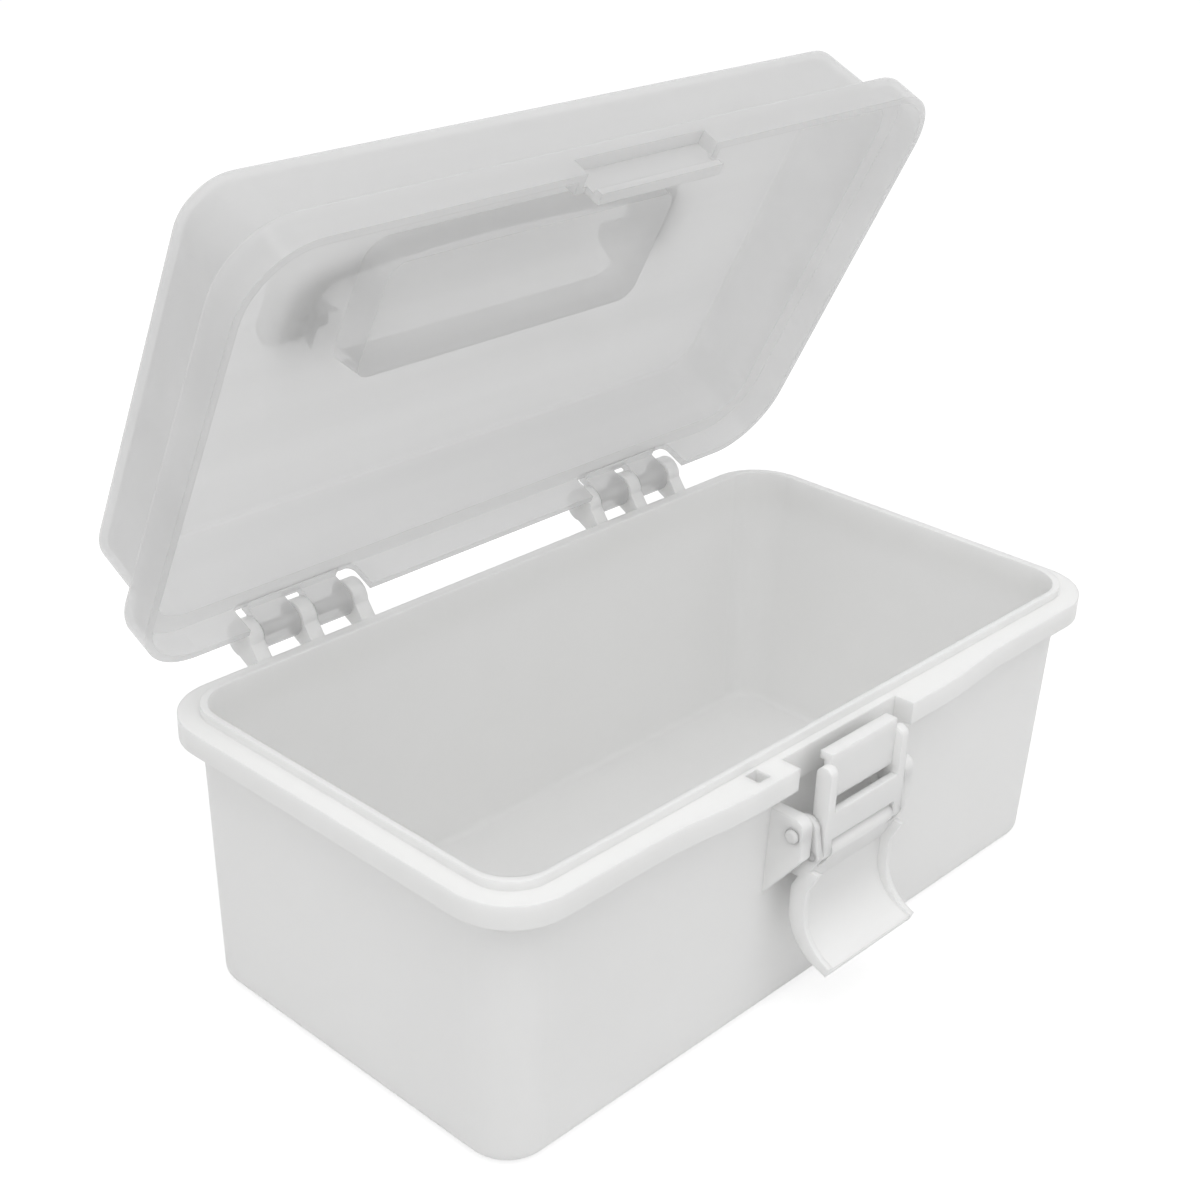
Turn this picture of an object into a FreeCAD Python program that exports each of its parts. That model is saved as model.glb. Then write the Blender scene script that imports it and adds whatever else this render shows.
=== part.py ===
import FreeCAD, Part
import math
import os
from types import SimpleNamespace

import Sketcher

# A small plastic storage box: a white tub with a rim, a clear domed lid on two rear hinges,
# a carry handle on the lid, and a lever latch with a hook at the front.
# Millimetres. Z is up, X runs along the box, the front with the latch faces -Y.
# The origin is the middle of the underside. The lid is drawn shut and then turned open.

SIZES = {
    # tub
    "rim_length": 200.0,
    "rim_width": 108.5,
    "rim_radius": 14.5,
    "box_height": 68.0,
    "flange_overhang": 4.2,
    "flange_height": 5.4,
    "cove_height": 4.0,
    "wall": 1.9,
    "floor_thickness": 2.2,
    "base_inset": 1.7,
    "wall_radius": 10.0,
    "foot_fillet": 3.0,
    "sole_height": 0.4,
    "sole_inset": 6.5,
    "lip_inset": 4.8,
    "lip_height": 2.0,
    # front shoulder of the rim, with the gap for the latch and a small square eye beside it
    "shoulder_reach": 2.0,
    "shoulder_half": 30.0,
    "shoulder_run": 32.0,
    "latch_land": 1.3,
    "eye_side": 3.6,
    "eye_offset": 28.2,
    # rear hinges
    "hinge_inset": 45.8,
    "hinge_reach": 6.6,
    "hinge_lift": 3.2,
    "hinge_ear_pitch": 15.0,
    "hinge_ear_thickness": 4.0,
    "hinge_ear_radius": 4.2,
    "hinge_barrel_radius": 3.9,
    "hinge_pin_radius": 1.5,
    "hinge_pin_fit": 0.03,
    "hinge_barrel_fit": 0.08,
    "hinge_side_gap": 0.4,
    "hinge_blind_depth": 2.6,
    # lid
    "lid_open_angle": 64.4,
    "lid_overhang": 2.2,
    "seat_gap": 0.3,
    "skirt_height": 9.0,
    "lid_wall": 1.8,
    "ledge_inset": 5.4,
    "ledge_inset_front": 4.8,
    "dome_height": 28.2,
    "dome_lean": 0.5,
    "dome_radius": 12.0,
    "dome_fillet": 2.5,
    "ledge_fillet": 1.5,
    "flap_slot": 4.8,
    "flap_slot_height": 7.4,
    "flap_slot_round": 2.0,
    # finger recess and handle lugs on the lid
    "recess_margin": 1.6,
    "recess_back": 6.4,
    "recess_front": 24.0,
    "recess_depth": 7.0,
    "recess_lean": 1.2,
    "recess_radius": 4.0,
    "lug_thickness": 4.8,
    "lug_radius": 3.9,
    "lug_foot": 5.0,
    "handle_pivot_front": 1.0,
    "handle_pivot_lift": 4.0,
    # carry handle
    "handle_half_length": 61.0,
    "handle_arm_width": 11.2,
    "handle_thickness": 6.8,
    "handle_reach": 22.0,
    "handle_bow_radius": 420.0,
    "handle_grip_width": 7.5,
    "handle_corner": 10.0,
    "handle_inner_corner": 6.0,
    "handle_fillet": 2.2,
    "handle_side_gap": 0.4,
    "handle_pin_radius": 2.0,
    "handle_pin_fit": 0.08,
    # latch: ears on the tub, lever between them, hook link between the lever's cheeks
    "latch_ear_inner": 16.2,
    "latch_ear_thickness": 3.3,
    "latch_ear_front": 2.6,
    "latch_ear_top": 4.3,
    "latch_ear_nose": 5.4,
    "latch_ear_root": 18.3,
    "latch_pivot_reach": 1.5,
    "latch_pivot_drop": 16.7,
    "latch_pin_radius": 1.6,
    "latch_pin_fit": 0.06,
    "latch_pin_end": 0.8,
    "latch_side_gap": 0.3,
    "lever_side_gap": 0.8,
    "cheek_thickness": 1.6,
    "cheek_radius": 3.0,
    "lever_web": 1.8,
    "lever_bend_height": 20.3,
    "lever_bend_front": 1.15,
    "lever_bend_radius": 11.0,
    "lever_bend_angle": 68.0,
    "lever_lip": 3.4,
    "lever_crease_height": 15.3,
    "lever_rib_top": 9.8,
    "lever_rib": 1.4,
    "lever_rib_depth": 2.3,
    "lever_rib_end": 0.6,
    "lever_slot_drop": 3.0,
    "link_pivot_back": 2.2,
    "link_pivot_drop": 5.9,
    "link_pin_radius": 1.1,
    "link_arm_thickness": 2.5,
    "link_arm_half": 1.9,
    "link_arm_height": 20.8,
    "link_bar_rise": 3.2,
    "link_bar_height": 6.6,
    "link_plate_rise": 11.8,
    "link_plate": 1.8,
    "hook_top": 23.0,
    "hook_height": 1.8,
    "hook_reach": 1.2,
    "catch_thickness": 1.5,
    "catch_gap": 0.6,
    "catch_clearance": 0.6,
    "catch_height": 1.8,
    "catch_side": 1.1,
    "catch_slack": 0.3,
    "niche_height": 4.5,
}


class Formula:
    """A size worked out from the sheet: the value draws, the text binds the drawing to the sheet."""

    def __init__(self, value, text):
        self.value = float(value)
        self.text = text

    def __add__(self, other):
        other = formula(other)
        return Formula(self.value + other.value, f"({self.text} + {other.text})")

    def __sub__(self, other):
        other = formula(other)
        return Formula(self.value - other.value, f"({self.text} - {other.text})")

    def __mul__(self, other):
        other = formula(other)
        return Formula(self.value * other.value, f"({self.text} * {other.text})")

    def __truediv__(self, other):
        other = formula(other)
        return Formula(self.value / other.value, f"({self.text} / {other.text})")

    def __neg__(self):
        return Formula(-self.value, f"(-1 * {self.text})")

    def __radd__(self, other):
        return formula(other) + self

    def __rsub__(self, other):
        return formula(other) - self

    def __rmul__(self, other):
        return formula(other) * self


def formula(size):
    return size if isinstance(size, Formula) else Formula(size, f"{float(size):.6f}")


def cosine(angle):
    return Formula(math.cos(math.radians(angle.value)), f"cos({angle.text} * 1 deg)")


def sine(angle):
    return Formula(math.sin(math.radians(angle.value)), f"sin({angle.text} * 1 deg)")


def root(area):
    return Formula(math.sqrt(area.value), f"sqrt({area.text})")


def slope(run, rise):
    """The angle of a face that goes sideways by run over a height of rise."""
    ratio = run / rise
    return Formula(math.degrees(math.atan(ratio.value)), f"atan({ratio.text})")


doc = FreeCAD.newDocument("storage_box")
sheet = doc.addObject("Spreadsheet::Sheet", "sizes")
for row, (alias, number) in enumerate(SIZES.items(), start=1):
    sheet.set(f"A{row}", alias)
    sheet.set(f"B{row}", str(number))
    sheet.setAlias(f"B{row}", alias)
doc.recompute()
size = SimpleNamespace(**{alias: Formula(number, f"sizes.{alias}") for alias, number in SIZES.items()})


# Sketches and features. Every corner of a sketch is placed by two sizes of the sheet.


def new_body(label):
    body = doc.addObject("PartDesign::Body", label)
    body.Label = label
    return body


def origin_plane(body, role):
    return next(f for f in body.Origin.OriginFeatures if f.Role == role)


def new_sketch(body, name, role, lift):
    """A sketch on one of the body's own planes, lifted along that plane's normal."""
    lift = formula(lift)
    sketch = body.newObject("Sketcher::SketchObject", name)
    sketch.AttachmentSupport = [(origin_plane(body, role), "")]
    sketch.MapMode = "FlatFace"
    sketch.AttachmentOffset = FreeCAD.Placement(FreeCAD.Vector(0, 0, lift.value), FreeCAD.Rotation())
    sketch.setExpression("AttachmentOffset.Base.z", lift.text)
    return sketch


def place_point(sketch, piece, end, corner):
    for kind, along in (("DistanceX", corner[0]), ("DistanceY", corner[1])):
        index = sketch.addConstraint(Sketcher.Constraint(kind, -1, 1, piece, end, along.value))
        sketch.setExpression(f"Constraints[{index}]", along.text)


def arc_between(start, stop, radius, turn):
    """The shorter arc from start to stop; turn is 1 for a left-hand bend and -1 for a right-hand one."""
    chord = stop - start
    left = FreeCAD.Vector(-chord.y, chord.x, 0).normalize()
    rise = math.sqrt(max(radius * radius - chord.Length * chord.Length / 4, 0.0))
    centre = (start + stop) * 0.5 + left * (rise * turn)
    first, last = (start, stop) if turn > 0 else (stop, start)
    angles = [math.atan2(p.y - centre.y, p.x - centre.x) for p in (first, last)]
    circle = Part.Circle(centre, FreeCAD.Vector(0, 0, 1), radius)
    return Part.ArcOfCircle(circle, angles[0], angles[1])


def outline(body, name, role, lift, corners, arcs=None):
    """A closed outline; arcs gives, for the side after a corner, its radius and its turn."""
    arcs = arcs or {}
    corners = [(formula(u), formula(v)) for u, v in corners]
    points = [FreeCAD.Vector(u.value, v.value, 0) for u, v in corners]
    sketch = new_sketch(body, name, role, lift)
    ends = []
    for side, start in enumerate(points):
        stop = points[(side + 1) % len(points)]
        if side in arcs:
            radius, turn = formula(arcs[side][0]), arcs[side][1]
            sketch.addGeometry(arc_between(start, stop, radius.value, turn), False)
            ends.append((1, 2) if turn > 0 else (2, 1))
        else:
            sketch.addGeometry(Part.LineSegment(start, stop), False)
            ends.append((1, 2))
    for side, corner in enumerate(corners):
        before = side - 1 if side else len(corners) - 1
        stop_end, start_end = ends[before][1], ends[side][0]
        sketch.addConstraint(Sketcher.Constraint("Coincident", before, stop_end, side, start_end))
        place_point(sketch, side, start_end, corner)
    for side, (radius, turn) in arcs.items():
        radius = formula(radius)
        index = sketch.addConstraint(Sketcher.Constraint("Radius", side, radius.value))
        sketch.setExpression(f"Constraints[{index}]", radius.text)
    return sketch


def rounded_rectangle(body, name, lift, half_length, half_width, radius, middle=0):
    """A level rectangle with round corners, moved back from the origin by middle."""
    x, r = half_length, radius
    low, high = middle - half_width, middle + half_width
    corners = [
        (r - x, low),
        (x - r, low),
        (x, low + r),
        (x, high - r),
        (x - r, high),
        (r - x, high),
        (-x, high - r),
        (-x, low + r),
    ]
    return outline(body, name, "XY_Plane", lift, corners, {1: (r, 1), 3: (r, 1), 5: (r, 1), 7: (r, 1)})


def rectangle(body, name, role, lift, low, high):
    return outline(body, name, role, lift, [low, (high[0], low[1]), high, (low[0], high[1])])


def disc(body, name, role, lift, centre, radius):
    centre, radius = [formula(c) for c in centre], formula(radius)
    sketch = new_sketch(body, name, role, lift)
    middle = FreeCAD.Vector(centre[0].value, centre[1].value, 0)
    sketch.addGeometry(Part.Circle(middle, FreeCAD.Vector(0, 0, 1), radius.value), False)
    place_point(sketch, 0, 3, centre)
    index = sketch.addConstraint(Sketcher.Constraint("Radius", 0, radius.value))
    sketch.setExpression(f"Constraints[{index}]", radius.text)
    return sketch


def pad(body, sketch, length, name, taper=None, down=False):
    """Grows the sketch along its plane's normal, or down against it; a taper above zero widens it."""
    feature = body.newObject("PartDesign::Pad", name)
    feature.Profile = sketch
    feature.Reversed = down
    feature.setExpression("Length", formula(length).text)
    if taper is not None:
        feature.setExpression("TaperAngle", taper.text)
    doc.recompute()
    return feature


def pocket(body, sketch, length, name, taper=None, down=False):
    """Cuts along the plane's normal, or down against it, and makes sure that something came off."""
    before = body.Shape.Volume
    feature = body.newObject("PartDesign::Pocket", name)
    feature.Profile = sketch
    feature.Reversed = not down
    feature.setExpression("Length", formula(length).text)
    if taper is not None:
        feature.setExpression("TaperAngle", taper.text)
    doc.recompute()
    if not body.Shape.Volume < before:
        raise RuntimeError(f"{name} cuts nothing")
    return feature


def mirror(body, features, name):
    """The same features on the other side of the middle plane."""
    feature = body.newObject("PartDesign::Mirrored", name)
    feature.Originals = features
    feature.MirrorPlane = (origin_plane(body, "YZ_Plane"), [""])
    body.Tip = feature
    doc.recompute()
    return feature


def fillet(body, radius, name, wanted):
    """Rounds the edges that the test picks."""
    base = body.Tip
    names = [f"Edge{i}" for i, edge in enumerate(base.Shape.Edges, start=1) if wanted(edge)]
    feature = body.newObject("PartDesign::Fillet", name)
    feature.Base = (base, names)
    feature.setExpression("Radius", formula(radius).text)
    doc.recompute()
    return feature


def lies_at(height, axis="z", slack=0.01):
    """A test for edges that lie wholly in one level plane."""
    low, high = f"{axis.upper()}Min", f"{axis.upper()}Max"

    def wanted(edge):
        ends = (getattr(edge.BoundBox, low), getattr(edge.BoundBox, high))
        return all(abs(end - height.value) < slack for end in ends)

    return wanted


# Shared places.

half_length = size.rim_length / 2
half_width = size.rim_width / 2
wall_half_length = half_length - size.flange_overhang
wall_half_width = half_width - size.flange_overhang
flange_bottom = size.box_height - size.flange_height
cove_bottom = flange_bottom - size.cove_height
lip_top = size.box_height + size.lip_height
hinge_y = half_width + size.hinge_reach
hinge_z = size.box_height + size.hinge_lift
hinge_offset = half_length - size.hinge_inset
hinge_centres = (("left", -hinge_offset), ("right", hinge_offset))
latch_ear_outer = size.latch_ear_inner + size.latch_ear_thickness
latch_y = -(half_width + size.latch_pivot_reach)
latch_z = size.box_height - size.latch_pivot_drop
latch_cut_back = -(wall_half_width + size.latch_land)
cheek_outer = size.latch_ear_inner - size.lever_side_gap
cheek_inner = cheek_outer - size.cheek_thickness
link_half = cheek_inner - size.latch_side_gap
arm_inner = link_half - size.link_arm_thickness
link_y = latch_y - size.link_pivot_back
link_z = latch_z - size.link_pivot_drop
hook_bottom = link_z + size.hook_top - size.hook_height
hook_tip = link_y + size.link_plate + size.hook_reach
lid_half_length = half_length + size.lid_overhang
lid_half_width = half_width + size.lid_overhang
lid_radius = size.rim_radius + size.lid_overhang
lid_bottom = size.box_height + size.seat_gap
ledge_z = size.box_height + size.skirt_height
dome_top = size.box_height + size.dome_height
handle_y = -size.handle_pivot_front
handle_z = dome_top + size.handle_pivot_lift
arm_inside = size.handle_half_length - size.handle_arm_width
lug_outer = arm_inside - size.handle_side_gap
lug_inner = lug_outer - size.lug_thickness


wall_rise = size.box_height - size.sole_height


def inset_at(height):
    """How far the drafted wall stands in from the rim's own wall line at a height."""
    return size.base_inset * (size.box_height - height) / wall_rise


# Tub

box = new_body("box_body")


def tub_section(name, lift, inset, radius):
    return rounded_rectangle(box, name, lift, wall_half_length - inset, wall_half_width - inset, radius)


draft = slope(size.base_inset, wall_rise)
foot = tub_section("foot_outline", size.sole_height, size.base_inset, size.wall_radius)
pad(box, foot, wall_rise, "walls", draft)
fillet(box, size.foot_fillet, "foot_round", lies_at(size.sole_height))

# A shallow sole under the floor, on which the box stands.
sole_x = wall_half_length - size.base_inset - size.sole_inset
sole_y = wall_half_width - size.base_inset - size.sole_inset
sole = rectangle(box, "sole_outline", "XY_Plane", 0, (-sole_x, -sole_y), (sole_x, sole_y))
pad(box, sole, size.floor_thickness, "sole")

cove_slope = slope(size.flange_overhang + size.wall / 2, size.cove_height)
under = rounded_rectangle(box, "cove_outline", flange_bottom, half_length, half_width, size.rim_radius)
pad(box, under, size.cove_height, "cove", -cove_slope, down=True)
rim = rounded_rectangle(box, "rim_outline", flange_bottom, half_length, half_width, size.rim_radius)
pad(box, rim, size.flange_height, "rim")

# The rim swells forward in two easy curves towards the latch.
swell_out = -(half_width + size.shoulder_reach)
swell_end = size.shoulder_half + size.shoulder_run
swell_mid = size.shoulder_half + size.shoulder_run / 2
swell_half = size.shoulder_run / 2
swell_drop = size.shoulder_reach / 2
swell_radius = (swell_half * swell_half + swell_drop * swell_drop) / (2 * swell_drop)
swell_corners = [
    (-swell_end, -half_width),
    (-swell_mid, -half_width - swell_drop),
    (-size.shoulder_half, swell_out),
    (size.shoulder_half, swell_out),
    (swell_mid, -half_width - swell_drop),
    (swell_end, -half_width),
    (swell_end, -wall_half_width),
    (-swell_end, -wall_half_width),
]
swell_arcs = {0: (swell_radius, -1), 1: (swell_radius, 1), 3: (swell_radius, 1), 4: (swell_radius, -1)}
swell = outline(box, "shoulder_outline", "XY_Plane", flange_bottom, swell_corners, swell_arcs)
pad(box, swell, size.flange_height, "shoulder")

lip = rounded_rectangle(
    box,
    "lip_outline",
    size.box_height,
    half_length - size.lip_inset,
    half_width - size.lip_inset,
    size.rim_radius - size.lip_inset,
)
pad(box, lip, size.lip_height, "lip")

# Hollow, drafted like the walls.
inner_radius = size.wall_radius - size.wall
hollow = tub_section(
    "hollow_outline", size.floor_thickness, size.wall + inset_at(size.floor_thickness), inner_radius
)
pocket(box, hollow, lip_top - size.floor_thickness, "hollow", draft)
fillet(box, size.foot_fillet - size.wall / 2, "hollow_round", lies_at(size.floor_thickness))

# Gap in the rim for the latch, and the square eye to its left.
gap = rectangle(
    box,
    "latch_gap_outline",
    "XY_Plane",
    cove_bottom - size.wall,
    (-latch_ear_outer, swell_out - size.wall),
    (latch_ear_outer, latch_cut_back),
)
pocket(box, gap, size.flange_height + size.cove_height + 2 * size.wall, "latch_gap")
eye_back = latch_cut_back + size.latch_land - size.catch_slack
eye = rectangle(
    box,
    "eye_outline",
    "XY_Plane",
    cove_bottom,
    (-size.eye_offset - size.eye_side / 2, eye_back - size.eye_side),
    (size.eye_side / 2 - size.eye_offset, eye_back),
)
pocket(box, eye, size.cove_height + size.flange_height + size.lip_height, "eye")

# Latch ears: gusset plates whose rounded noses carry the lever.
ear_root_y = -(wall_half_width - 0.8 * size.wall)
ear_front_y = latch_y - size.latch_ear_front
ear_top_z = latch_z + size.latch_ear_top
ear_corners = [
    (ear_root_y, ear_top_z),
    (ear_front_y + size.latch_ear_front, ear_top_z),
    (ear_front_y, ear_top_z - size.latch_ear_front),
    (ear_front_y, latch_z - size.latch_ear_nose),
    (ear_root_y, latch_z - size.latch_ear_root),
]
ear_arcs = {1: (size.latch_ear_front, 1)}
ear = outline(box, "latch_ear_outline", "YZ_Plane", size.latch_ear_inner, ear_corners, ear_arcs)
ear_pad = pad(box, ear, size.latch_ear_thickness, "latch_ear")
ear_bore = disc(
    box,
    "latch_bore_outline",
    "YZ_Plane",
    size.latch_ear_inner - size.wall,
    (latch_y, latch_z),
    size.latch_pin_radius + size.latch_pin_fit,
)
ear_cut = pocket(box, ear_bore, size.latch_ear_thickness + 2 * size.wall, "latch_bore")
mirror(box, [ear_pad, ear_cut], "latch_ear_pair")

# Hinge ears: three rounded lugs to a hinge on the rim's back edge. The left one of each three is blind.
ear_r = size.hinge_ear_radius
hinge_ear_corners = [
    (half_width - size.wall, flange_bottom),
    (hinge_y, hinge_z - ear_r),
    (hinge_y + ear_r, hinge_z),
    (hinge_y, hinge_z + ear_r),
    (hinge_y - ear_r, hinge_z),
    (half_width, size.box_height),
    (half_width - size.wall, size.box_height),
]
hinge_arcs = {1: (ear_r, 1), 2: (ear_r, 1), 3: (ear_r, 1)}
half_ear = size.hinge_ear_thickness / 2
for side, centre in hinge_centres:
    for place in (-1, 0, 1):
        start = centre + place * size.hinge_ear_pitch - half_ear
        name = f"hinge_ear_{side}_{place + 2}"
        sketch = outline(box, f"{name}_outline", "YZ_Plane", start, hinge_ear_corners, hinge_arcs)
        pad(box, sketch, size.hinge_ear_thickness, name)
    bore_start = centre - size.hinge_ear_pitch + half_ear - size.hinge_blind_depth
    bore_end = centre + size.hinge_ear_pitch + half_ear + size.hinge_side_gap
    name = f"hinge_bore_{side}"
    bore_radius = size.hinge_pin_radius + size.hinge_pin_fit
    bore = disc(box, f"{name}_outline", "YZ_Plane", bore_start, (hinge_y, hinge_z), bore_radius)
    pocket(box, bore, bore_end - bore_start, name)

# Hinge pins

pins = []
for side, centre in hinge_centres:
    pin = new_body(f"hinge_pin_{side}")
    start = centre - size.hinge_ear_pitch + half_ear - size.hinge_blind_depth + size.hinge_pin_fit
    end = centre + size.hinge_ear_pitch + half_ear
    name = f"pin_{side}"
    section = disc(pin, f"{name}_outline", "YZ_Plane", start, (hinge_y, hinge_z), size.hinge_pin_radius)
    pad(pin, section, end - start, name)
    pins.append(pin)

# Lid, drawn shut

lid = new_body("lid")
dome_half_length = lid_half_length - size.ledge_inset
dome_half_width = lid_half_width - size.ledge_inset_front
skirt = rounded_rectangle(lid, "skirt_outline", lid_bottom, lid_half_length, lid_half_width, lid_radius)
pad(lid, skirt, ledge_z - lid_bottom, "skirt")


def dome_section(name, lift, inset, radius):
    return rounded_rectangle(lid, name, lift, dome_half_length - inset, dome_half_width - inset, radius)


dome_rise = dome_top - ledge_z
dome_slope = slope(size.dome_lean, dome_rise)
dome = dome_section("dome_outline", ledge_z, 0, size.dome_radius)
pad(lid, dome, dome_rise, "dome", -dome_slope)
fillet(lid, size.dome_fillet, "dome_round", lies_at(dome_top))


def on_ledge_rim(edge):
    box_of_edge = edge.BoundBox
    level = abs(box_of_edge.ZMin - ledge_z.value) < 0.01 and abs(box_of_edge.ZMax - ledge_z.value) < 0.01
    reach = max(abs(box_of_edge.XMin), abs(box_of_edge.XMax)) / lid_half_length.value
    depth = max(abs(box_of_edge.YMin), abs(box_of_edge.YMax)) / lid_half_width.value
    return level and max(reach, depth) > 1 - 1e-6


fillet(lid, size.ledge_fillet, "ledge_round", on_ledge_rim)

skirt_hollow = rounded_rectangle(
    lid,
    "skirt_hollow_outline",
    lid_bottom - size.lid_wall,
    lid_half_length - size.lid_wall,
    lid_half_width - size.lid_wall,
    lid_radius - size.lid_wall,
)
pocket(lid, skirt_hollow, ledge_z - lid_bottom, "skirt_hollow")
dome_hollow = dome_section(
    "dome_hollow_outline", ledge_z - size.lid_wall, size.lid_wall, size.dome_radius - size.lid_wall
)
pocket(lid, dome_hollow, dome_rise, "dome_hollow", -dome_slope)
fillet(lid, 0.3 * size.dome_fillet, "dome_hollow_round", lies_at(dome_top - size.lid_wall))

# Finger recess in the top, a pan that hangs into the lid.
recess_middle = (size.recess_back - size.recess_front) / 2
recess_half_width = (size.recess_back + size.recess_front) / 2


def recess_section(name, lift, grow):
    reach, depth = lug_inner - size.recess_margin + grow, recess_half_width + grow
    return rounded_rectangle(lid, name, lift, reach, depth, size.recess_radius + grow, recess_middle)


recess_slope = slope(size.recess_lean, size.recess_depth)
pan = recess_section("pan_outline", dome_top - size.lid_wall, size.lid_wall)
pad(lid, pan, size.recess_depth, "pan", -recess_slope, down=True)
recess = recess_section("recess_outline", dome_top, formula(0))
pocket(lid, recess, size.recess_depth, "recess", -recess_slope, down=True)

# Handle lugs on the top.
lug_corners = [
    (handle_y - size.lug_foot, dome_top - size.lid_wall / 2),
    (handle_y + size.lug_foot, dome_top - size.lid_wall / 2),
    (handle_y + size.lug_radius, handle_z),
    (handle_y, handle_z + size.lug_radius),
    (handle_y - size.lug_radius, handle_z),
]
lug_arcs = {2: (size.lug_radius, 1), 3: (size.lug_radius, 1)}
lug = outline(lid, "lug_outline", "YZ_Plane", lug_inner, lug_corners, lug_arcs)
lug_pad = pad(lid, lug, size.lug_thickness, "lug")
lug_bore = disc(
    lid,
    "lug_bore_outline",
    "YZ_Plane",
    lug_inner - size.lid_wall,
    (handle_y, handle_z),
    size.handle_pin_radius + size.handle_pin_fit,
)
lug_cut = pocket(lid, lug_bore, size.lug_thickness + 2 * size.lid_wall, "lug_bore")
mirror(lid, [lug_pad, lug_cut], "lug_pair")

# Catch at the front: a plate behind a niche in the skirt, with a tongue that drops into the rim's gap.
catch_back = latch_cut_back - size.catch_slack
catch_front = catch_back - size.catch_thickness
catch_tip = hook_tip + size.catch_clearance
catch_top = hook_bottom - size.catch_gap
catch_bottom = catch_top - size.catch_height
catch_half = latch_ear_outer - size.catch_side
backing = rectangle(
    lid,
    "catch_backing_outline",
    "XY_Plane",
    lid_bottom,
    (-latch_ear_outer - size.lid_wall, size.lid_wall / 2 - lid_half_width),
    (latch_ear_outer + size.lid_wall, catch_back),
)
pad(lid, backing, ledge_z - lid_bottom - size.lid_wall / 2, "catch_backing")
niche = rectangle(
    lid,
    "niche_outline",
    "XY_Plane",
    lid_bottom - size.lid_wall,
    (-latch_ear_outer, -lid_half_width - size.lid_wall),
    (latch_ear_outer, catch_front),
)
pocket(lid, niche, size.niche_height + size.lid_wall, "niche")
tongue_corners = [
    (catch_back, lid_bottom + size.lid_wall),
    (catch_front, lid_bottom + size.lid_wall),
    (catch_front, catch_top),
    (catch_tip, catch_top),
    (catch_tip, catch_bottom),
    (catch_back, catch_bottom),
]
tongue = outline(lid, "tongue_outline", "YZ_Plane", -catch_half, tongue_corners)
pad(lid, tongue, 2 * catch_half, "tongue")

# Hinge flaps: the back skirt opens round each hinge, and a flap hangs there with two barrels.
barrel_r = size.hinge_barrel_radius
flap_half = size.hinge_ear_pitch - half_ear - size.hinge_side_gap
notch_half = half_ear + size.hinge_side_gap
flap_front = hinge_y - barrel_r
flap_back = flap_front + size.lid_wall
ear_clear = hinge_z + ear_r + 1.5 * size.hinge_side_gap
flap_corners = [
    (lid_half_width - size.lid_wall, ledge_z - size.lid_wall),
    (flap_front, ledge_z - size.lid_wall),
    (flap_front, hinge_z),
    (hinge_y, hinge_z - barrel_r),
    (hinge_y + barrel_r, hinge_z),
    (hinge_y, hinge_z + barrel_r),
    (flap_back, hinge_z + barrel_r),
    (flap_back, ledge_z),
    (lid_half_width - size.lid_wall, ledge_z),
]
flap_arcs = {2: (barrel_r, 1), 3: (barrel_r, 1), 4: (barrel_r, 1)}
window_half = flap_half + size.flap_slot
window_top = lid_bottom + size.flap_slot_height
window_r = size.flap_slot_round
window_back = -lid_half_width - size.lid_wall
for side, centre in hinge_centres:
    left, right = centre - window_half, centre + window_half
    window_corners = [
        (left, lid_bottom - size.lid_wall),
        (right, lid_bottom - size.lid_wall),
        (right, window_top - window_r),
        (right - window_r, window_top),
        (left + window_r, window_top),
        (left, window_top - window_r),
    ]
    window_arcs = {2: (window_r, 1), 4: (window_r, 1)}
    window = outline(lid, f"window_{side}_outline", "XZ_Plane", window_back, window_corners, window_arcs)
    pocket(lid, window, 2 * size.lid_wall + size.seat_gap, f"window_{side}")
    flap = outline(lid, f"flap_{side}_outline", "YZ_Plane", centre - flap_half, flap_corners, flap_arcs)
    pad(lid, flap, 2 * flap_half, f"flap_{side}")
    notch = rectangle(
        lid,
        f"notch_{side}_outline",
        "YZ_Plane",
        centre - notch_half,
        (flap_front - size.seat_gap, hinge_z - ear_r - size.seat_gap),
        (hinge_y + ear_r + size.seat_gap, ear_clear),
    )
    pocket(lid, notch, 2 * notch_half, f"notch_{side}")
    name = f"barrel_bore_{side}"
    bore_radius = size.hinge_pin_radius + size.hinge_barrel_fit
    bore = disc(lid, f"{name}_outline", "YZ_Plane", centre - flap_half, (hinge_y, hinge_z), bore_radius)
    pocket(lid, bore, 2 * flap_half, name)

# Carry handle, drawn folded forward on the shut lid

handle = new_body("carry_handle")
arm_outside = size.handle_half_length
bow_front = handle_y - size.handle_reach
bow_y = bow_front + size.handle_bow_radius


def bow_corner(bow_radius, reach, corner):
    """A corner from an arm at reach into the bow: where it leaves the arm and where it joins the bow."""
    across = reach - corner
    spread = bow_radius - corner
    along = root(spread * spread - across * across)
    joined = bow_radius / spread
    return (reach, bow_y - along), (across * joined, bow_y - along * joined)


def opposite(point):
    return (-point[0], point[1])


inner_bow = size.handle_bow_radius - size.handle_grip_width
inner_start, inner_join = bow_corner(inner_bow, arm_inside, size.handle_inner_corner)
outer_start, outer_join = bow_corner(size.handle_bow_radius, arm_outside, size.handle_corner)
bail_corners = [
    (arm_inside, handle_y),
    inner_start,
    inner_join,
    opposite(inner_join),
    opposite(inner_start),
    (-arm_inside, handle_y),
    (-arm_outside, handle_y),
    opposite(outer_start),
    opposite(outer_join),
    outer_join,
    outer_start,
    (arm_outside, handle_y),
]
bail_arcs = {
    1: (size.handle_inner_corner, -1),
    2: (inner_bow, -1),
    3: (size.handle_inner_corner, -1),
    7: (size.handle_corner, 1),
    8: (size.handle_bow_radius, 1),
    9: (size.handle_corner, 1),
}
half_thickness = size.handle_thickness / 2
bail_bottom = handle_z - half_thickness
bail = outline(handle, "bail_outline", "XY_Plane", bail_bottom, bail_corners, bail_arcs)
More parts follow.
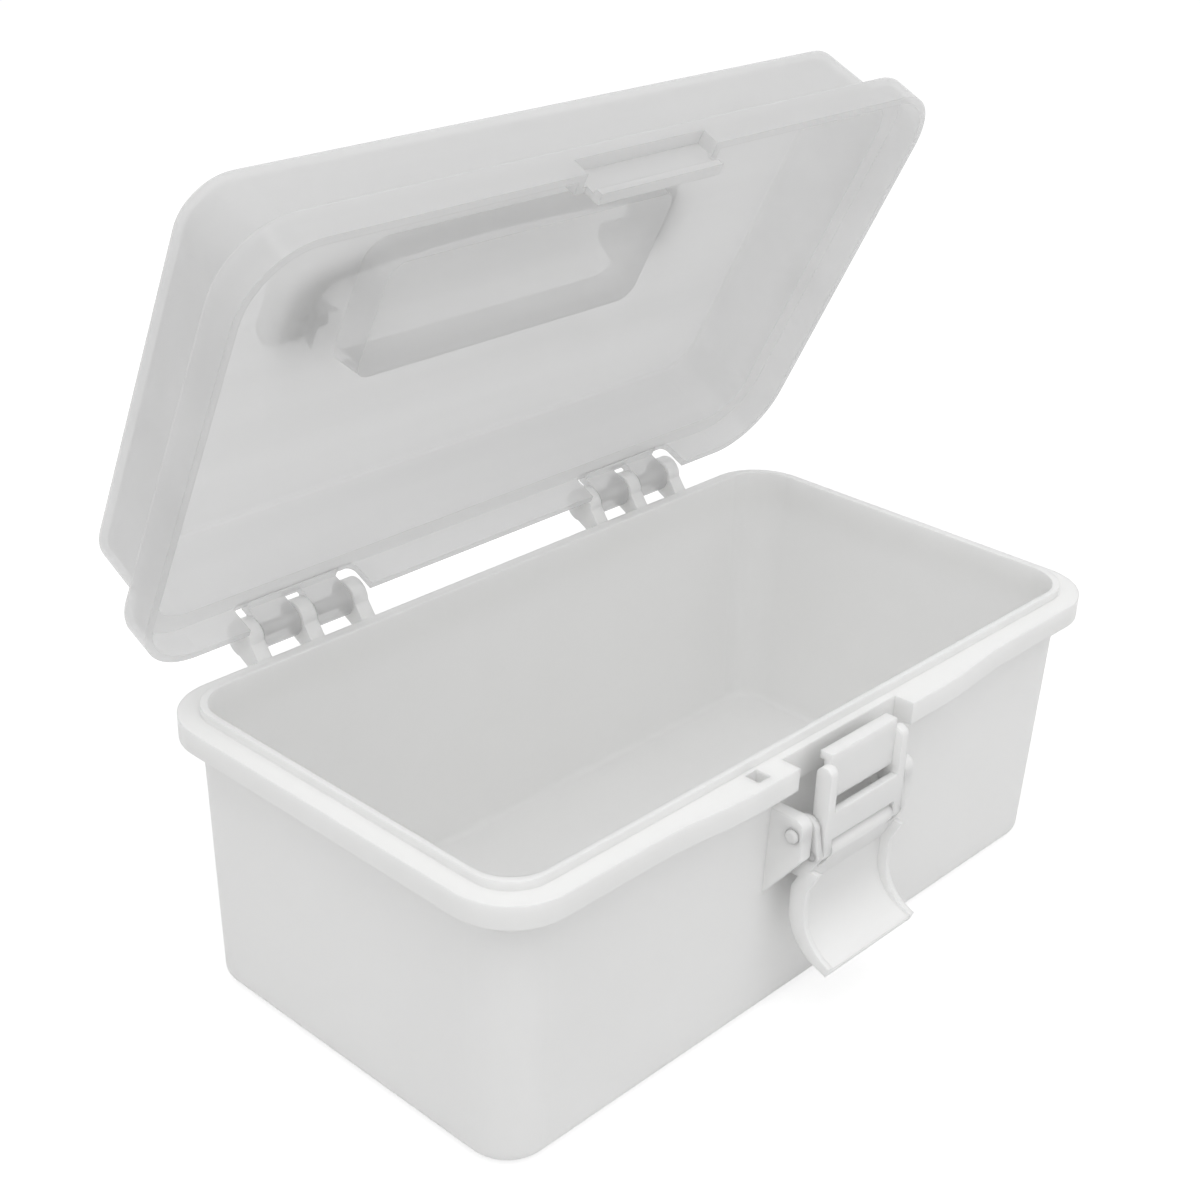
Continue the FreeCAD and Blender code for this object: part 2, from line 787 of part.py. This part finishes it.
pad(handle, bail, size.handle_thickness, "bail")
knuckle = disc(handle, "knuckle_outline", "YZ_Plane", arm_inside, (handle_y, handle_z), half_thickness)
knuckle_pad = pad(handle, knuckle, arm_outside - arm_inside, "knuckle")
mirror(handle, [knuckle_pad], "knuckle_pair")


def on_bail(edge):
    """The long edges of grip and arms, round the knuckles too: neither upright nor straight along X."""
    span = edge.BoundBox
    upright = span.XLength < 0.01 and span.YLength < 0.01
    crossing = span.YLength < 0.01 and span.ZLength < 0.01
    return not upright and not crossing


fillet(handle, size.handle_fillet, "bail_round", on_bail)
peg = disc(handle, "peg_outline", "YZ_Plane", lug_inner, (handle_y, handle_z), size.handle_pin_radius)
peg_pad = pad(handle, peg, arm_inside - lug_inner + size.handle_fillet, "peg")
mirror(handle, [peg_pad], "peg_pair")

# Latch lever, with its heights measured down from its pivot

lever = new_body("latch_lever")
web = size.lever_web
knuckle_r = web + size.latch_side_gap
top_front = link_y - knuckle_r
bend_front = -(half_width + size.lever_bend_front)
bend_z = latch_z - size.lever_bend_height
crease_z = latch_z - size.lever_crease_height
bend_r = size.lever_bend_radius
bend_centre = bend_front - bend_r
turn_cos = cosine(size.lever_bend_angle)
turn_sin = sine(size.lever_bend_angle)


def web_front(height):
    """The lever's front face leans back from its top to a crease; below that it is upright to the bend."""
    return bend_front + (top_front - bend_front) * (height - crease_z) / (link_z - crease_z)


def on_bend(offset, along):
    """A point past the bend: offset behind the front face, and along the lip."""
    y = bend_centre + (bend_r + offset) * turn_cos - along * turn_sin
    z = bend_z - (bend_r + offset) * turn_sin - along * turn_cos
    return (y, z)


blade_corners = [
    (top_front, link_z),
    (bend_front, crease_z),
    (bend_front, bend_z),
    on_bend(formula(0), formula(0)),
    on_bend(formula(0), size.lever_lip),
    on_bend(web, size.lever_lip),
    on_bend(web, formula(0)),
    (bend_front + web, bend_z),
    (bend_front + web, crease_z),
    (top_front + web, link_z),
]
blade_arcs = {2: (bend_r, -1), 6: (bend_r + web, 1)}
blade = outline(lever, "blade_outline", "YZ_Plane", -cheek_outer, blade_corners, blade_arcs)
pad(lever, blade, 2 * cheek_outer, "blade")

# Ribs along both sides stand forward of the blade and run out towards the lip.
rib_top = latch_z - size.lever_rib_top
rib_front = bend_front - size.lever_rib_depth
rib_end = on_bend(-size.lever_rib_end, size.lever_lip)
rib_run = rib_front - rib_end[0]
rib_drop = bend_z - rib_end[1]
rib_r = (rib_run * rib_run + rib_drop * rib_drop) / (2 * rib_run)
rib_back = web / 2
rib_corners = [
    (web_front(rib_top) - size.lever_rib_depth, rib_top),
    (rib_front, crease_z),
    (rib_front, bend_z),
    rib_end,
    on_bend(rib_back, size.lever_lip),
    on_bend(rib_back, formula(0)),
    (bend_front + rib_back, bend_z),
    (bend_front + rib_back, crease_z),
    (web_front(rib_top) + rib_back, rib_top),
]
rib_arcs = {2: (rib_r, -1), 5: (bend_r + rib_back, 1)}
rib = outline(lever, "rib_outline", "YZ_Plane", cheek_outer - size.lever_rib, rib_corners, rib_arcs)
rib_pad = pad(lever, rib, size.lever_rib, "rib")

# Cheeks rise past the hook's pivot to the lever's own pivot.
cheek_r = size.cheek_radius
cheek_foot = link_z - size.lever_slot_drop - 2 * size.cheek_thickness
cheek_corners = [
    (web_front(cheek_foot) + web / 2, cheek_foot),
    (web_front(cheek_foot) + 2 * web, cheek_foot),
    (link_y + cheek_r, link_z),
    (latch_y + cheek_r, latch_z),
    (latch_y, latch_z + cheek_r),
    (latch_y - cheek_r, latch_z),
    (top_front, link_z),
]
cheek_arcs = {3: (cheek_r, 1), 4: (cheek_r, 1)}
cheek = outline(lever, "cheek_outline", "YZ_Plane", cheek_inner, cheek_corners, cheek_arcs)
cheek_pad = pad(lever, cheek, size.cheek_thickness, "cheek")
stub = disc(lever, "stub_outline", "YZ_Plane", cheek_inner, (latch_y, latch_z), size.latch_pin_radius)
stub_pad = pad(lever, stub, latch_ear_outer + size.latch_pin_end - cheek_inner, "stub")
mirror(lever, [rib_pad, cheek_pad, stub_pad], "lever_pair")

# A rounded top edge in the middle, and slots beside it for the hook's arms.
slot_inner = arm_inner - size.latch_side_gap
top_edge = disc(lever, "top_edge_outline", "YZ_Plane", -slot_inner, (link_y, link_z), knuckle_r)
pad(lever, top_edge, 2 * slot_inner, "top_edge")
slot = rectangle(
    lever,
    "slot_outline",
    "YZ_Plane",
    slot_inner,
    (top_front - web, link_z - size.lever_slot_drop),
    (top_front + 2 * cheek_r, link_z + cheek_r),
)
slot_cut = pocket(lever, slot, cheek_inner - slot_inner, "slot")
link_bore = disc(
    lever,
    "link_bore_outline",
    "YZ_Plane",
    cheek_inner - size.latch_side_gap,
    (link_y, link_z),
    size.link_pin_radius + size.latch_pin_fit,
)
bore_cut = pocket(lever, link_bore, size.cheek_thickness + 2 * size.latch_side_gap, "link_bore")
mirror(lever, [slot_cut, bore_cut], "slot_pair")


def on_stub_end(edge):
    return abs(abs(edge.CenterOfMass.x) - (latch_ear_outer + size.latch_pin_end).value) < 0.01


fillet(lever, 0.9 * size.latch_pin_end, "stub_round", on_stub_end)

# Hook link

link = new_body("latch_link")
arm_r = size.link_arm_half
arm_top = link_z + size.link_arm_height
arm_corners = [
    (link_y - arm_r, link_z),
    (link_y, link_z - arm_r),
    (link_y + arm_r, link_z),
    (link_y + arm_r, arm_top - arm_r),
    (link_y, arm_top),
    (link_y - arm_r, arm_top - arm_r),
]
arm_arcs = {0: (arm_r, 1), 1: (arm_r, 1), 3: (arm_r, 1), 4: (arm_r, 1)}
bar_bottom = link_z + size.link_bar_rise
bar = rectangle(
    link,
    "bar_outline",
    "YZ_Plane",
    -link_half,
    (link_y - arm_r, bar_bottom),
    (link_y - arm_r + size.link_plate, bar_bottom + size.link_bar_height),
)
pad(link, bar, 2 * link_half, "bar")
arm = outline(link, "arm_outline", "YZ_Plane", arm_inner, arm_corners, arm_arcs)
arm_pad = pad(link, arm, size.link_arm_thickness, "arm")
trunnion = disc(link, "trunnion_outline", "YZ_Plane", arm_inner, (link_y, link_z), size.link_pin_radius)
trunnion_pad = pad(link, trunnion, cheek_outer - arm_inner, "trunnion")
mirror(link, [arm_pad, trunnion_pad], "arm_pair")
hook_corners = [
    (link_y, link_z + size.link_plate_rise),
    (link_y + size.link_plate, link_z + size.link_plate_rise),
    (link_y + size.link_plate, hook_bottom),
    (hook_tip, hook_bottom),
    (hook_tip, hook_bottom + size.hook_height),
    (link_y, hook_bottom + size.hook_height),
]
hook = outline(link, "hook_outline", "YZ_Plane", -arm_inner - size.latch_side_gap, hook_corners)
pad(link, hook, 2 * (arm_inner + size.latch_side_gap), "hook")

# The lid and the handle on it turn open about the hinge axis.
turn_y = hinge_y - hinge_y * cosine(size.lid_open_angle) - hinge_z * sine(size.lid_open_angle)
turn_z = hinge_z + hinge_y * sine(size.lid_open_angle) - hinge_z * cosine(size.lid_open_angle)
for body in (lid, handle):
    body.Placement = FreeCAD.Placement(
        FreeCAD.Vector(0, turn_y.value, turn_z.value),
        FreeCAD.Rotation(FreeCAD.Vector(-1, 0, 0), size.lid_open_angle.value),
    )
    body.setExpression("Placement.Base.y", turn_y.text)
    body.setExpression("Placement.Base.z", turn_z.text)
    body.setExpression("Placement.Rotation.Angle", size.lid_open_angle.text)
doc.recompute()

# Every object has to be sound before anything is written.
pieces = [box, *pins, lid, handle, lever, link]
for thing in doc.Objects:
    if "Invalid" in thing.State or "Error" in thing.State:
        raise RuntimeError(f"{thing.Name} failed: {thing.State}")
for piece in pieces:
    if piece.Shape.isNull() or not piece.Shape.isValid() or len(piece.Shape.Solids) != 1:
        raise RuntimeError(f"{piece.Label} is not one sound solid")

os.makedirs("parts", exist_ok=True)
for piece in pieces:
    piece.Shape.exportStep(f"parts/{piece.Label}.step")
    bounds = piece.Shape.BoundBox
    low = [round(v, 2) for v in (bounds.XMin, bounds.YMin, bounds.ZMin)]
    high = [round(v, 2) for v in (bounds.XMax, bounds.YMax, bounds.ZMax)]
    print(piece.Label, "volume", round(piece.Shape.Volume), "from", low, "to", high)
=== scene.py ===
import math

import bpy
from mathutils import Matrix, Vector

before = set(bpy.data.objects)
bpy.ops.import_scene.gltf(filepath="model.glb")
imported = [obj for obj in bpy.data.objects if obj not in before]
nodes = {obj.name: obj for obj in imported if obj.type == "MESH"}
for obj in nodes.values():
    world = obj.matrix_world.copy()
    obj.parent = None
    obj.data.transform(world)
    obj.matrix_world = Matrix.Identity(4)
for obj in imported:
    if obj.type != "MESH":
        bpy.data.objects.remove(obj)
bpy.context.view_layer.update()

# The storage box as photographed: satin white tub, handle and latch, and a hazy clear lid standing open.
# Lengths are metres unless a name says otherwise.

MM = 0.001
PHOTO = 1200.0

# Camera, fitted to the straight edges of the photograph.
AZIMUTH = -46.31
ELEVATION = 28.82
ROLL = 1.50
DISTANCE = 424.55 * MM
TARGET = Vector((-31.75 * MM, 0.0, 69.26 * MM))
FOCAL_PIXELS = 1971.0
OPTICAL_CENTRE_PIXELS = (-40.0, 85.0)

WHITE = (0.86, 0.86, 0.855, 1.0)
CLEAR = (0.86, 0.86, 0.86, 1.0)
CLEAR_HAZE = (0.78, 0.78, 0.78, 1.0)
WHITE_FLOW = (0.845, 0.845, 0.838, 1.0)
PURE_WHITE = (1.0, 1.0, 1.0, 1.0)

# How far light spreads under the white surface, and how the lid shares its light.
SPREAD_DEPTH = 4.0 * MM
MILKY_SHARE = 0.45
STRAIGHT_THROUGH_CLEAREST = 0.36
STRAIGHT_THROUGH_HAZIEST = 0.31
STREAK_SCALE = (3.0, 45.0, 45.0)

# Floor and surroundings: what is seen is white, what lights the box is plain.
FLOOR_PLAIN = (0.75, 0.75, 0.75, 1.0)
FLOOR_SHADED = (0.40, 0.40, 0.40, 1.0)
FLOOR_GLOW = 0.74
AMBIENT = 0.61
BACKDROP = 1.0

# Soft lamps: name, place and watts. Each is a square that faces the box.
LAMP_SIDE = 1.0
LAMP_AIM = Vector((0.0, 0.0, 0.06))
LAMPS = (
    ("top", (-0.30, -0.35, 1.25), 7.0),
    ("left", (-1.30, -0.10, 0.85), 1.1),
    ("front_right", (0.50, -1.20, 0.85), 1.1),
)


class Tree:
    """A short way to write node trees."""

    def __init__(self, owner):
        owner.use_nodes = True
        self.nodes = owner.node_tree.nodes
        self.links = owner.node_tree.links
        self.nodes.clear()

    def add(self, kind, inputs=None, **settings):
        node = self.nodes.new(kind)
        for name, value in settings.items():
            setattr(node, name, value)
        for name, value in (inputs or {}).items():
            socket = node.inputs[name]
            if isinstance(value, bpy.types.NodeSocket):
                self.links.new(value, socket)
            else:
                socket.default_value = value
        return node

    def noise(self, where, scale, detail=3.0, roughness=0.5):
        inputs = {"Vector": where, "Scale": scale, "Detail": detail, "Roughness": roughness}
        return self.add("ShaderNodeTexNoise", inputs).outputs["Fac"]

    def shown(self, path):
        """One for the rays that show the background: camera, reflection and see-through."""
        mirror = self.add(
            "ShaderNodeMath",
            {0: path.outputs["Is Glossy Ray"], 1: path.outputs["Is Transmission Ray"]},
            operation="MAXIMUM",
        )
        return self.add(
            "ShaderNodeMath",
            {0: path.outputs["Is Camera Ray"], 1: mirror.outputs["Value"]},
            operation="MAXIMUM",
        ).outputs["Value"]

    def spread(self, value, low, high, start=0.3, end=0.7):
        """Maps a noise value from start..end to low..high."""
        inputs = {"Value": value, "From Min": start, "From Max": end, "To Min": low, "To Max": high}
        return self.add("ShaderNodeMapRange", inputs).outputs["Result"]


def white_plastic(name, grain_depth):
    """Satin moulded plastic, a little translucent, with fine grain, softened edges and slight flow marks."""
    material = bpy.data.materials.new(name)
    tree = Tree(material)
    where = tree.add("ShaderNodeTexCoord").outputs["Object"]
    grain = tree.noise(where, 2600.0, 2.0)
    flow = tree.noise(where, 22.0, 4.0, 0.6)
    wear = tree.noise(where, 140.0, 5.0, 0.65)
    soft_edge = tree.add("ShaderNodeBevel", {"Radius": 0.45 * MM}, samples=6)
    bump = tree.add(
        "ShaderNodeBump",
        {"Strength": 0.25, "Distance": grain_depth, "Height": grain, "Normal": soft_edge.outputs["Normal"]},
    )
    tone = tree.add(
        "ShaderNodeMix",
        {"Factor": tree.spread(flow, 0.0, 1.0), "A": WHITE, "B": WHITE_FLOW},
        data_type="RGBA",
    )
    shader = tree.add(
        "ShaderNodeBsdfPrincipled",
        {
            "Base Color": tone.outputs["Result"],
            "Roughness": tree.spread(wear, 0.38, 0.50),
            "Normal": bump.outputs["Normal"],
            "IOR": 1.49,
            "Specular IOR Level": 0.4,
            "Subsurface Weight": 0.8,
            "Subsurface Radius": (1.0, 1.0, 1.0),
            "Subsurface Scale": SPREAD_DEPTH,
        },
    )
    tree.add("ShaderNodeOutputMaterial", {"Surface": shader.outputs["BSDF"]})
    return material


def clear_plastic(name):
    """Thin clear plastic with a milky haze and faint streaks along its length."""
    material = bpy.data.materials.new(name)
    tree = Tree(material)
    where = tree.add("ShaderNodeTexCoord").outputs["Object"]
    haze = tree.noise(where, 11.0, 2.0, 0.5)
    along = tree.add("ShaderNodeMapping", {"Vector": where, "Scale": STREAK_SCALE}).outputs["Vector"]
    streak = tree.noise(along, 1.0, 3.0, 0.55)
    soft_edge = tree.add("ShaderNodeBevel", {"Radius": 0.4 * MM}, samples=6)
    tone = tree.add(
        "ShaderNodeMix",
        {"Factor": tree.spread(streak, 0.0, 1.0, 0.2, 0.8), "A": CLEAR, "B": CLEAR_HAZE},
        data_type="RGBA",
    )
    body = tree.add(
        "ShaderNodeBsdfPrincipled",
        {
            "Base Color": tone.outputs["Result"],
            "Roughness": tree.spread(haze, 0.10, 0.20, 0.0, 1.0),
            "Normal": soft_edge.outputs["Normal"],
            "IOR": 1.45,
            "Transmission Weight": 0.12,
        },
    )
    glow = tree.add("ShaderNodeBsdfTranslucent", {"Color": tone.outputs["Result"]})
    milky = tree.add("ShaderNodeMixShader", {0: MILKY_SHARE, 1: body.outputs["BSDF"], 2: glow.outputs["BSDF"]})
    through = tree.add("ShaderNodeBsdfTransparent", {"Color": (0.98, 0.98, 0.98, 1.0)})
    share = tree.spread(haze, STRAIGHT_THROUGH_CLEAREST, STRAIGHT_THROUGH_HAZIEST, 0.0, 1.0)
    mix = tree.add(
        "ShaderNodeMixShader",
        {0: share, 1: milky.outputs["Shader"], 2: through.outputs["BSDF"]},
    )
    tree.add("ShaderNodeOutputMaterial", {"Surface": mix.outputs["Shader"]})
    return material


def dress(piece, material):
    piece.data.materials.clear()
    piece.data.materials.append(material)


tub_white = white_plastic("white_plastic_tub", 0.05 * MM)
small_white = white_plastic("white_plastic_small", 0.03 * MM)
clear = clear_plastic("clear_plastic")
dress(nodes["box_body"], tub_white)
for name in ("hinge_pin_left", "hinge_pin_right", "carry_handle", "latch_lever", "latch_link"):
    dress(nodes[name], small_white)
dress(nodes["lid"], clear)


# Floor, light and camera.


def floor_material():
    """White to the camera, in reflections and through the lid, with a light shadow; plain to other light."""
    material = bpy.data.materials.new("floor_white")
    tree = Tree(material)
    path = tree.add("ShaderNodeLightPath")
    seen = tree.shown(path)
    plain = tree.add("ShaderNodeBsdfDiffuse", {"Color": FLOOR_PLAIN})
    glow = tree.add("ShaderNodeEmission", {"Color": PURE_WHITE, "Strength": FLOOR_GLOW})
    shade = tree.add("ShaderNodeBsdfDiffuse", {"Color": FLOOR_SHADED})
    white = tree.add("ShaderNodeAddShader", {0: glow.outputs["Emission"], 1: shade.outputs["BSDF"]})
    mix = tree.add(
        "ShaderNodeMixShader",
        {0: seen, 1: plain.outputs["BSDF"], 2: white.outputs["Shader"]},
    )
    tree.add("ShaderNodeOutputMaterial", {"Surface": mix.outputs["Shader"]})
    return material


def make_floor(half=4.0):
    mesh = bpy.data.meshes.new("floor")
    corners = [(-half, -half, 0.0), (half, -half, 0.0), (half, half, 0.0), (-half, half, 0.0)]
    mesh.from_pydata(corners, [], [(0, 1, 2, 3)])
    floor = bpy.data.objects.new("floor", mesh)
    bpy.context.scene.collection.objects.link(floor)
    dress(floor, floor_material())


def make_world():
    world = bpy.data.worlds.new("studio")
    bpy.context.scene.world = world
    tree = Tree(world)
    path = tree.add("ShaderNodeLightPath")
    seen = tree.shown(path)
    light = tree.add("ShaderNodeBackground", {"Color": PURE_WHITE, "Strength": AMBIENT})
    white = tree.add("ShaderNodeBackground", {"Color": PURE_WHITE, "Strength": BACKDROP})
    mix = tree.add(
        "ShaderNodeMixShader",
        {0: seen, 1: light.outputs["Background"], 2: white.outputs["Background"]},
    )
    tree.add("ShaderNodeOutputWorld", {"Surface": mix.outputs["Shader"]})


def softbox(name, place, watts):
    data = bpy.data.lights.new(name, "AREA")
    data.shape = "SQUARE"
    data.size = LAMP_SIDE
    data.energy = watts
    lamp = bpy.data.objects.new(name, data)
    bpy.context.scene.collection.objects.link(lamp)
    lamp.location = place
    lamp.rotation_mode = "QUATERNION"
    lamp.rotation_quaternion = (LAMP_AIM - Vector(place)).to_track_quat("-Z", "Y")


def make_camera():
    turn, lift, roll = (math.radians(angle) for angle in (AZIMUTH, ELEVATION, ROLL))
    back = Vector((math.sin(turn) * math.cos(lift), -math.cos(turn) * math.cos(lift), math.sin(lift)))
    level = Vector((math.cos(turn), math.sin(turn), 0.0))
    upright = back.cross(level)
    right = level * math.cos(roll) + upright * math.sin(roll)
    up = upright * math.cos(roll) - level * math.sin(roll)
    data = bpy.data.cameras.new("camera")
    data.sensor_width = 36.0
    data.lens = FOCAL_PIXELS / PHOTO * data.sensor_width
    data.shift_x = -OPTICAL_CENTRE_PIXELS[0] / PHOTO
    data.shift_y = OPTICAL_CENTRE_PIXELS[1] / PHOTO
    data.clip_start = 0.01
    camera = bpy.data.objects.new("camera", data)
    bpy.context.scene.collection.objects.link(camera)
    place = Matrix.Translation(TARGET + back * DISTANCE)
    camera.matrix_world = place @ Matrix((right, up, back)).transposed().to_4x4()
    bpy.context.scene.camera = camera


make_floor()
make_world()
for lamp_name, lamp_place, lamp_watts in LAMPS:
    softbox(lamp_name, lamp_place, lamp_watts)
make_camera()
bpy.context.scene.view_settings.view_transform = "Standard"
